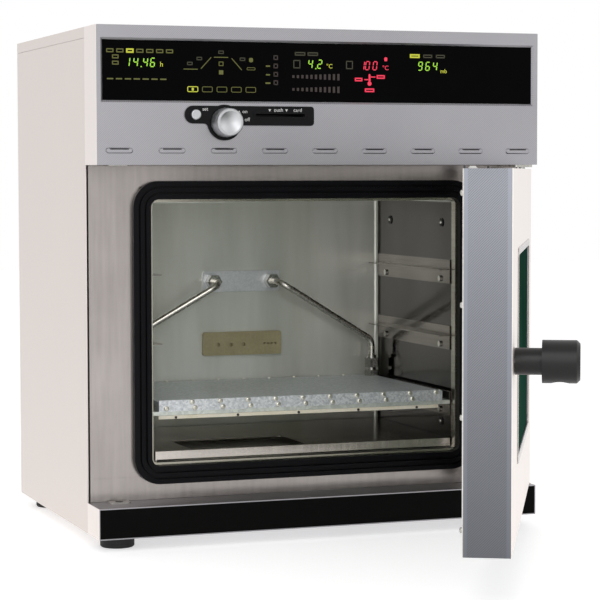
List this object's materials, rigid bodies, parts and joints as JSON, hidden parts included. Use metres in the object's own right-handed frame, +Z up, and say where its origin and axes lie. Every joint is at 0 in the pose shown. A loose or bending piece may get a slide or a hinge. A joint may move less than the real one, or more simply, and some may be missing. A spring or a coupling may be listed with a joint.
{
  "type": "vacuum oven",
  "caption": "Bench vacuum oven with a cooled shelf: steel casing, glazed hinged door with a locking knob, black display strip, rubber-sealed steel chamber.",
  "frame": {"origin": "bench level, under the middle of the footprint with the door ajar", "axes": "+X to the right seen from the front, +Y to the rear, +Z up; the front looks along -Y"},
  "size_m": [0.55, 0.893, 0.6],
  "materials": {
    "casing_steel": "textured stainless steel sheet",
    "vessel_steel": "smooth rolled stainless steel",
    "polished_steel": "polished stainless steel",
    "shelf_galvanised": "spangled grey aluminium",
    "fitting_steel": "turned stainless steel",
    "hinge_brass": "turned brass",
    "display_glass": "black printed glass",
    "door_glass": "thick green safety glass",
    "black_panel": "black satin panel",
    "black_plastic": "satin black moulded plastic",
    "white_plastic": "white moulded plastic",
    "socket_resin": "olive beige resin",
    "cream_cover": "cream enamelled cover",
    "dial_aluminium": "satin aluminium",
    "seal_rubber": "black silicone rubber",
    "foot_rubber": "black rubber",
    "heater_rubber": "red silicone heating mat",
    "mineral_wool": "pressed mineral wool",
    "board_green": "green circuit board",
    "line_tube": "drawn steel tube"
  },
  "bodies": {
    "housing": {"side_panel_left": "casing_steel", "side_panel_right": "casing_steel", "top_cover": "casing_steel", "rear_panel": "casing_steel", "base_pan": "casing_steel", "fascia": "casing_steel", "plinth": "casing_steel", "chamber": "vessel_steel", "chamber_collar": "vessel_steel", "shelf_rails_left": "vessel_steel", "shelf_rails_right": "vessel_steel", "floor_tray": "vessel_steel", "electronics_deck": "vessel_steel", "front_frame": "polished_steel", "coolant_pipe_left": "polished_steel", "coolant_pipe_right": "polished_steel", "port_plate": "polished_steel", "shelf_plate": "shelf_galvanised", "shelf_front_bar": "shelf_galvanised", "shelf_rivets": "shelf_galvanised", "shelf_carrier": "shelf_galvanised", "rail_screws": "fitting_steel", "wall_fittings": "fitting_steel", "shelf_fittings": "fitting_steel", "hinge_plates": "fitting_steel", "bolt_keepers": "fitting_steel", "coolant_unions": "fitting_steel", "vacuum_spigot": "fitting_steel", "air_nozzle": "fitting_steel", "display_window": "display_glass", "plinth_panel": "black_panel", "control_plate": "black_panel", "card_reader": "black_plastic", "mains_inlet": "black_plastic", "solenoid_valves": "black_plastic", "socket_block": "socket_resin", "shelf_bottom_cover": "cream_cover", "power_supply": "dial_aluminium", "door_gasket": "seal_rubber", "feet": "foot_rubber", "heater_mats": "heater_rubber", "insulation": "mineral_wool", "circuit_boards": "board_green", "valve_lines": "line_tube"},
    "door": {"door_shell": "casing_steel", "door_inner_panel": "vessel_steel", "window_frame": "polished_steel", "door_window": "door_glass", "window_duct": "vessel_steel", "hinge_bushes": "hinge_brass", "knob_bearing": "black_plastic", "glass_clamps": "black_plastic"},
    "door_knob": {"knob_grip": "black_plastic", "knob_spindle": "fitting_steel"},
    "upper_lock": {"upper_bolt": "white_plastic"},
    "lower_lock": {"lower_bolt": "white_plastic"},
    "safety_glass": {"inner_glass": "door_glass"},
    "push_shaft": {"dial_shaft": "dial_aluminium"},
    "dial": {"control_dial": "dial_aluminium"},
    "set_key": {"set_button": "dial_aluminium"}
  },
  "joints": [
    {"name": "door_hinge", "type": "hinge", "parent": "housing", "child": "door", "pos_m": [0.26, 0.02766, 0.2465], "axis": [0, 0, 1], "range_deg": [-62, 108]},
    {"name": "knob_turn", "type": "hinge", "parent": "door", "child": "door_knob", "pos_m": [0.04671, -0.3969, 0.244], "axis": [-0.8829, 0.4695, 0], "range_deg": [0, 60]},
    {"name": "upper_bolt_slide", "type": "slide", "parent": "door", "child": "upper_lock", "axis": [0, 0, 1], "range_m": [0, 0.011]},
    {"name": "lower_bolt_slide", "type": "slide", "parent": "door", "child": "lower_lock", "axis": [0, 0, -1], "range_m": [0, 0.011]},
    {"name": "glass_float", "type": "slide", "parent": "door", "child": "safety_glass", "axis": [0.8829, -0.4695, 0], "range_m": [0, 0.002], "stiffness_N_per_m": 4000},
    {"name": "dial_push", "type": "slide", "parent": "housing", "child": "push_shaft", "axis": [0, 1, 0], "range_m": [0, 0.0015], "stiffness_N_per_m": 400},
    {"name": "dial_turn", "type": "hinge", "parent": "push_shaft", "child": "dial", "pos_m": [-0.1236, 0.00666, 0.4905], "axis": [0, 1, 0], "continuous": true},
    {"name": "set_press", "type": "slide", "parent": "housing", "child": "set_key", "axis": [0, 1, 0], "range_m": [0, 0.0012], "stiffness_N_per_m": 400}
  ],
  "couplings": [
    {"joint": "upper_bolt_slide", "follows": "knob_turn", "m_per_rad": 0.010504},
    {"joint": "lower_bolt_slide", "follows": "knob_turn", "m_per_rad": 0.010504}
  ]
}
